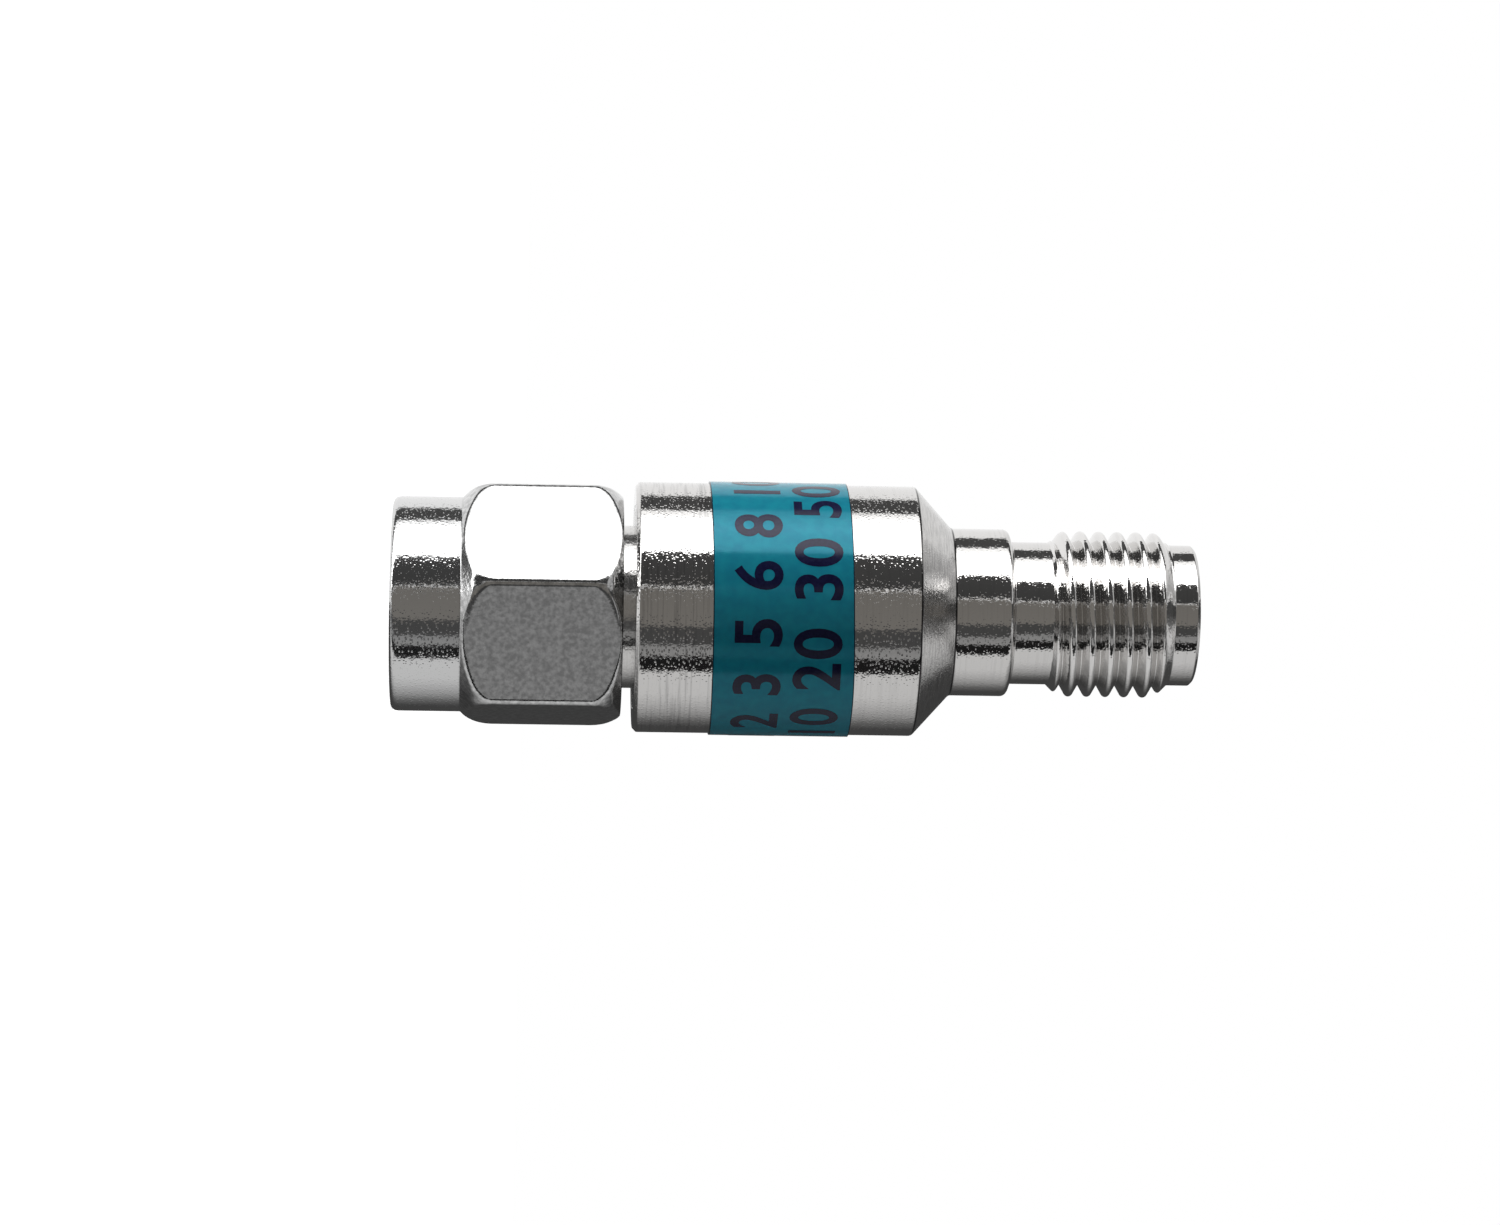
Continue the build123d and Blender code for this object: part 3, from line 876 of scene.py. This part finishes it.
def nut_steel():
    """The nut's metal: a pitted turned sleeve, and flats that are scuffed all over."""
    material, shader, place, add = textured("nut_steel")
    relief = turned_skin(add, place, FINE_LINE_DEPTH, PEEL_DEPTH)[-1]
    sleeve = zone(add, place, NUT_FRONT - BEYOND, SLEEVE_END, SLEEVE_BLUR)
    relief = pitted(add, place, relief, spread(add, sleeve, 0, 1, FLAT_PITS, 1))
    clouds = spread(add, noise(add, place, SCUFF_SCALE, SCUFF_DETAIL), *SCUFF_RANGE, 0, SCUFF_SHARE)
    scuffs = calculate(add, "MAXIMUM", clouds, calculate(add, "MULTIPLY", sleeve, SCUFF_SHARE))
    shader.inputs["Metallic"].default_value = 1
    color = tint(add, scuffs, *SCUFF_COLORS)
    connect(shader, color, spread(add, sleeve, 0, 1, *NUT_ROUGHNESS), relief)
    return material


# Dull materials, label and ink

GRAIN_DETAIL = 4
CLOUD_DETAIL = 2
CLOUD_SIZE = 8  # times that of the grains
SHADE_SHARE = 0.85
MATT_SHARES = (0.85, 1.15)
BUSH_STRETCH = (0.1, 0.1, 1)
FIBRE_SCALE = 9000
FIBRE_DETAIL = 3
FILM_SCALE = 2500
FILM_DETAIL = 4
FILM_METALLIC = 0.08
FILM_SPECULAR = 0.15
FILM_ROUGHNESS = (0.1, 0.18)
FILM_DEPTH = 0.0015 * MM
INK_COLORS = ((0.006, 0.007, 0.04), (0.011, 0.012, 0.055))
INK_SPECULAR = 0.25
INK_ROUGHNESS = (0.15, 0.2)
INK_DEPTH = 0.0004 * MM


def matt(name, color, roughness, scale, depth, stretch=(1, 1, 1), metallic=0):
    """A dull surface with its own grain, a little uneven in colour and gloss."""
    material, shader, place, add = textured(name)
    grains = noise(add, place, scale, GRAIN_DETAIL, stretch)
    clouds = noise(add, place, scale / CLOUD_SIZE, CLOUD_DETAIL, stretch)
    shade = [c * SHADE_SHARE for c in color]
    smooth, rough = [roughness * share for share in MATT_SHARES]
    shader.inputs["Metallic"].default_value = metallic
    color = tint(add, spread(add, clouds, *CLOUD_RANGE, 0, 1), color, shade)
    connect(shader, color, spread(add, grains, *NOISE_RANGE, smooth, rough), bump(add, grains, depth))
    return material


def foil(name, light, shade):
    """Glossy label film with a metallic ground that is slightly mottled between two colours."""
    material, shader, place, add = textured(name)
    fibres = noise(add, place, FIBRE_SCALE, FIBRE_DETAIL)
    clouds = noise(add, place, FILM_SCALE, FILM_DETAIL)
    shader.inputs["Metallic"].default_value = FILM_METALLIC
    shader.inputs["Specular IOR Level"].default_value = FILM_SPECULAR
    color = tint(add, spread(add, clouds, *CLOUD_RANGE, 0, 1), light, shade)
    rough = spread(add, fibres, *NOISE_RANGE, *FILM_ROUGHNESS)
    connect(shader, color, rough, bump(add, fibres, FILM_DEPTH))
    return material


def ink():
    """Dark printing ink, thin enough to show the film's grain."""
    material, shader, place, add = textured("ink")
    fibres = noise(add, place, FIBRE_SCALE, FIBRE_DETAIL)
    shader.inputs["Specular IOR Level"].default_value = INK_SPECULAR
    color = tint(add, spread(add, fibres, *CLOUD_RANGE, 0, 1), *INK_COLORS)
    rough = spread(add, fibres, *NOISE_RANGE, *INK_ROUGHNESS)
    connect(shader, color, rough, bump(add, fibres, INK_DEPTH))
    return material


def glow(name, color):
    """A card that shines in this colour, as bright as its own mesh says."""
    material = bpy.data.materials.new(name)
    material.use_nodes = True
    nodes = material.node_tree.nodes
    nodes.clear()
    shade = nodes.new("ShaderNodeAttribute")
    shade.attribute_name = "shade"
    light = nodes.new("ShaderNodeEmission")
    light.inputs["Color"].default_value = (*color, 1)
    output = nodes.new("ShaderNodeOutputMaterial")
    material.node_tree.links.new(shade.outputs["Fac"], light.inputs["Strength"])
    material.node_tree.links.new(light.outputs[0], output.inputs["Surface"])
    return material


# Studio: long cards parallel to the axis and one beyond the jack, seen only in reflections

CARD_DISTANCE = 250 * MM
CARD_FRONT = -2000 * MM
CARD_FADE_START = 60 * MM
CARD_FADE_END = 130 * MM
CARD_REAR = 350 * MM
CARD_STEPS = 12
LONG_CARDS = (
    # start and end in degrees round the axis, from -Y towards -X, the brightness at each,
    # and the share of it that is left beyond the jack
    (180, 124, 1.0, 1.15, 0.88),
    (124, 100, 0.085, 0.085, 0.75),
    (100, 90, 1.3, 1.8, 1),
    (90, 80, 2.4, 3.2, 1),
    (80, 52, 4.0, 4.0, 1),
    (52, 19, 0.075, 0.06, 1),
    (19, 17.5, 1.1, 1.1, 1),
    (17.5, -17, 0.21, 0.23, 1),
    (-17, -34, 0.08, 0.08, 1),
    (-34, -45, 0.3, 0.37, 1),
    (-45, -60, 0.015, 0.015, 1),
    (-60, -86, 0.78, 0.76, 1),
    (-86, -98, 0.76, 0.62, 0.75),
    (-98, -113, 0.62, 0.4, 0.75),
    (-113, -126, 0.4, 0.17, 1),
    (-126, -140, 0.17, 0.07, 1),
    (-140, -180, 0.07, 0.05, 1),
)
WARM_CARD_START = 17.5  # of the card that shines in a warmer colour
END_CARD = (
    # distance from the axis towards +X in millimetres, and brightness
    (-250, 0.9),
    (-180, 0.85),
    (-150, 0.7),
    (-110, 0.46),
    (-92, 0.44),
    (-80, 0.78),
    (-64, 0.8),
    (-58, 0.07),
    (-5, 0.07),
    (22, 0.13),
    (45, 0.2),
    (65, 0.62),
    (95, 0.72),
    (120, 0.6),
    (150, 0.38),
    (180, 0.2),
    (220, 0.1),
    (250, 0.1),
)


def make_card(name, strips, material):
    """A card from rows of (point, brightness), which stays out of the picture and lights nothing dull."""
    bm = bmesh.new()
    shade = bm.verts.layers.float.new("shade")
    rows = []
    for strip in strips:
        row = []
        for place, brightness in strip:
            row.append(bm.verts.new(place))
            row[-1][shade] = brightness
        rows.append(row)
    for here, there in zip(rows, rows[1:]):
        for j in range(len(here) - 1):
            bm.faces.new((here[j], here[j + 1], there[j + 1], there[j]))
    mesh = bpy.data.meshes.new(name)
    bm.to_mesh(mesh)
    bm.free()
    card = bpy.data.objects.new(name, mesh)
    bpy.context.scene.collection.objects.link(card)
    card.data.materials.append(material)
    card.visible_camera = False
    card.visible_diffuse = False
    card.visible_shadow = False
    card.visible_transmission = False


def make_studio():
    """Put up the long cards and the card beyond the jack."""
    for number, (start, stop, first, last, rest) in enumerate(LONG_CARDS):
        strips = []
        for i in range(CARD_STEPS + 1):
            angle = radians(start + (stop - start) * i / CARD_STEPS)
            x, y = -CARD_DISTANCE * sin(angle), -CARD_DISTANCE * cos(angle)
            level = first + (last - first) * i / CARD_STEPS
            strips.append([
                ((x, y, CARD_FRONT), level),
                ((x, y, CARD_FADE_START), level),
                ((x, y, CARD_FADE_END), level * rest),
                ((x, y, CARD_REAR), level * rest),
            ])
        material = WARM_GLOW if start == WARM_CARD_START else GLOW
        make_card(f"card_long_{number}", strips, material)
    strips = []
    for side, level in END_CARD:
        x = side * MM
        half = sqrt(CARD_DISTANCE**2 - x**2)
        strips.append([((x, -half, CARD_REAR), level), ((x, half, CARD_REAR), level)])
    make_card("card_end", strips, GLOW)


GLOW = glow("card", WHITE)
WARM_GLOW = glow("warm_card", (1, 0.95, 0.88))
make_studio()


# Floor and surroundings

FLOOR_SIZE = 3000 * MM
FLOOR_GAP = 0.01 * MM
FLOOR_SHADE = 0.9
FLOOR_ROUGHNESS = 0.9
FLOOR_LIFT = 0.88
WORLD_LIGHT = 0.15  # what lights dull surfaces, where the camera and reflections see 1


def make_floor():
    """A pale matt floor that the camera sees as white, apart from the shadow on it."""
    bm = bmesh.new()
    bmesh.ops.create_grid(bm, x_segments=1, y_segments=1, size=FLOOR_SIZE / 2)
    floor = finish_mesh("floor", bm)
    floor.location.z = -FLOOR_GAP
    material, shader, add = new_material("floor")
    shader.inputs["Base Color"].default_value = (FLOOR_SHADE, FLOOR_SHADE, FLOOR_SHADE, 1)
    shader.inputs["Roughness"].default_value = FLOOR_ROUGHNESS
    shader.inputs["Specular IOR Level"].default_value = 0
    shader.inputs["Emission Color"].default_value = (*WHITE, 1)
    seen = add("ShaderNodeLightPath").outputs["Is Camera Ray"]
    lift = calculate(add, "MULTIPLY", seen, FLOOR_LIFT)
    shader.id_data.links.new(lift, shader.inputs["Emission Strength"])
    floor.data.materials.append(material)
    floor.visible_glossy = False


def make_world():
    """White surroundings, dim for the light they give."""
    world = bpy.data.worlds.new("world")
    bpy.context.scene.world = world
    world.use_nodes = True
    tree = world.node_tree
    background = tree.nodes["Background"]
    background.inputs["Color"].default_value = (*WHITE, 1)
    path = tree.nodes.new("ShaderNodeLightPath")
    seen = tree.nodes.new("ShaderNodeMath")
    seen.operation = "MAXIMUM"
    tree.links.new(path.outputs["Is Camera Ray"], seen.inputs[0])
    tree.links.new(path.outputs["Is Glossy Ray"], seen.inputs[1])
    through = tree.nodes.new("ShaderNodeMath")
    through.operation = "MAXIMUM"
    tree.links.new(seen.outputs[0], through.inputs[0])
    tree.links.new(path.outputs["Is Transmission Ray"], through.inputs[1])
    level = tree.nodes.new("ShaderNodeMapRange")
    tree.links.new(through.outputs[0], level.inputs["Value"])
    level.inputs["To Min"].default_value = WORLD_LIGHT
    level.inputs["To Max"].default_value = 1.0
    tree.links.new(level.outputs["Result"], background.inputs["Strength"])


make_floor()
make_world()


# Pieces

STEEL = housing_steel()
NUT_STEEL = nut_steel()
SHELL_STEEL = metal("shell_steel", BRIGHT_STEEL, roughness=0.16)
GOLD = metal("gold", (0.95, 0.68, 0.30), roughness=0.16, peel_depth=PEEL_DEPTH)
SPRING = metal("spring_steel", (0.50, 0.50, 0.50), roughness=0.3)
BRASS = metal("clamp_brass", (0.80, 0.60, 0.27), roughness=0.25)
BUSH = matt(
    "bush_plastic", (0.88, 0.88, 0.85), roughness=0.42, scale=6000, depth=0.003 * MM, stretch=BUSH_STRETCH
)
RUBBER = matt("rubber", (0.50, 0.10, 0.07), roughness=0.7, scale=9000, depth=0.006 * MM)
ALUMINA = matt("alumina", (0.90, 0.89, 0.85), roughness=0.6, scale=12000, depth=0.002 * MM)
SILVER = matt("silver_film", (0.75, 0.74, 0.70), roughness=0.4, scale=9000, depth=0.003 * MM, metallic=1)
GLAZE = matt("resistor_glaze", (0.05, 0.05, 0.05), roughness=0.25, scale=5000, depth=0.004 * MM)
FOIL = foil("foil", light=(0.015, 0.32, 0.43), shade=(0.013, 0.27, 0.39))
# painted shade: dark film colours for the label's cut edges
FOIL_RIM_SHADE = foil("foil_painted_rim_shade", light=(0.004, 0.03, 0.05), shade=(0.004, 0.02, 0.04))
INK = ink()

dress(make_housing(), STEEL, "housing_steel", "body", "main_housing")
dress(make_nut(), NUT_STEEL, "nut_steel", "nut", "coupling_nut")
dress(make_plug_shell(), SHELL_STEEL, "housing_steel", "body", "plug_shell")
dress(make_gasket(), RUBBER, "gasket_rubber", "body", "sealing_gasket")
dress(make_plug_insulator(), BUSH, "white_insulator", "body", "plug_insulator")
dress(make_jack_insulator(), BUSH, "white_insulator", "body", "jack_insulator")
dress(make_pin(), GOLD, "gold_plate", "body", "plug_pin")
dress(make_socket(), GOLD, "gold_plate", "body", "jack_socket")
paint_rim_shade(dress(make_label(), FOIL, "label_film", "body", "label_band"), FOIL_RIM_SHADE)
for number, (words, setback) in enumerate(NUMBER_ROWS):
    dress(make_numbers(number, words, setback), INK, "label_film", "body")


def paint_node(node, material):
    """Give a solid that stays as it is its material."""
    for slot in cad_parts[node].material_slots:
        slot.material = material


paint_node("retaining_ring", SPRING)
paint_node("attenuator_card", ALUMINA)
paint_node("conductor_film", SILVER)
paint_node("resistor_film", GLAZE)
paint_node("film_side_clamp", BRASS)
paint_node("bare_side_clamp", BRASS)


# Lamps for what is not metal: a soft one on the side that is up in the picture, a beam along the axis

KEY_PLACE = Vector((-600, -60, 50)) * MM
KEY_SIZE = 250 * MM
KEY_POWER = 3.6
TOP_PLACE = Vector((0, 0, 500)) * MM
TOP_BEAM = radians(1.5)
TOP_BLEND = 0.3
TOP_SIZE = 10 * MM
TOP_POWER = 9.0


def place_lamp(lamp, power, place):
    """Put a lamp where it looks at the middle of the part, and keep it out of the mirror images."""
    lamp.energy = power
    obj = bpy.data.objects.new(lamp.name, lamp)
    bpy.context.scene.collection.objects.link(obj)
    obj.location = place
    middle = Vector((0, 0, JACK_END / 2))
    obj.rotation_euler = (middle - place).to_track_quat("-Z", "Y").to_euler()
    obj.visible_glossy = False


key = bpy.data.lights.new("key", "AREA")
key.size = KEY_SIZE
place_lamp(key, KEY_POWER, KEY_PLACE)
top = bpy.data.lights.new("top", "SPOT")
top.spot_size = TOP_BEAM
top.spot_blend = TOP_BLEND
top.shadow_soft_size = TOP_SIZE
place_lamp(top, TOP_POWER, TOP_PLACE)

# Camera at the photograph's angle: the part lies across the picture with its jack to the right

CAMERA_EYE = Vector((0.14, -166, 5.4)) * MM
CAMERA_TARGET = Vector((0.14, 0, 13.44)) * MM
CAMERA_ROLL = radians(0.91)
CAMERA_LENS = 105.9
CAMERA_SENSOR = 36
CAMERA_NEAR = 10 * MM


def make_camera():
    """Point the camera at the part, turned so that -X is up."""
    data = bpy.data.cameras.new("camera")
    data.lens = CAMERA_LENS
    data.sensor_width = CAMERA_SENSOR
    data.clip_start = CAMERA_NEAR
    camera = bpy.data.objects.new("camera", data)
    bpy.context.scene.collection.objects.link(camera)
    back = (CAMERA_EYE - CAMERA_TARGET).normalized()
    up = Vector((-1, 0, 0))
    right = up.cross(back).normalized()
    up = back.cross(right)
    turn = Matrix((right, up, back)).transposed().to_4x4()
    camera.matrix_world = Matrix.Translation(CAMERA_EYE) @ turn @ Matrix.Rotation(CAMERA_ROLL, 4, "Z")
    bpy.context.scene.camera = camera


make_camera()
bpy.context.scene.view_settings.view_transform = "Standard"
